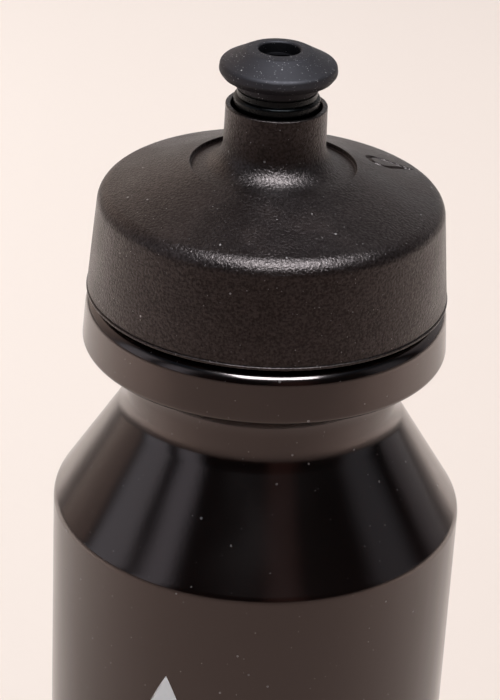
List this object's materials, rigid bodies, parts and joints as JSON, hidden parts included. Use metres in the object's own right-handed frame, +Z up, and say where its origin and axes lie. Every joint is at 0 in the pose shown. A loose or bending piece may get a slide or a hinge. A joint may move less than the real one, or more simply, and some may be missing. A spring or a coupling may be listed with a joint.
{
  "type": "squeeze bottle with push-pull spout",
  "caption": "Round squeeze bottle with a grip waist, a domed screw lid and a push-pull drinking spout.",
  "frame": {"origin": "centre of the foot ring, on the surface that the bottle stands on", "axes": "+Z up the bottle's axis to the spout, +X towards the drop mark's side of the lid"},
  "size_m": [0.074, 0.074, 0.2298],
  "materials": {
    "bottle_plastic": "satin black low-density polyethylene, blow moulded",
    "lid_plastic": "matte black polypropylene with a fine spark-eroded grain",
    "stem_plastic": "smooth black polypropylene",
    "mouthpiece_rubber": "soft matte black thermoplastic rubber",
    "seal_rubber": "translucent grey silicone"
  },
  "bodies": {
    "bottle": {"bottle": "bottle_plastic"},
    "gasket_ring": {"lid_gasket": "seal_rubber"},
    "lid": {"lid": "lid_plastic", "closing_post": "stem_plastic"},
    "spout": {"spout_stem": "stem_plastic", "spout_seal": "seal_rubber", "mouthpiece": "mouthpiece_rubber"}
  },
  "joints": [
    {"name": "lid_rise", "type": "slide", "parent": "bottle", "child": "gasket_ring", "axis": [0, 0, 1], "range_m": [0, 0.0077]},
    {"name": "lid_turn", "type": "hinge", "parent": "gasket_ring", "child": "lid", "pos_m": [0, 0, 0.2], "axis": [0, 0, 1], "range_deg": [0, 345]},
    {"name": "spout_slide", "type": "slide", "parent": "lid", "child": "spout", "axis": [0, 0, 1], "range_m": [-0.0047, 0]}
  ],
  "couplings": [
    {"joint": "lid_rise", "follows": "lid_turn", "m_per_rad": 0.0012732}
  ]
}
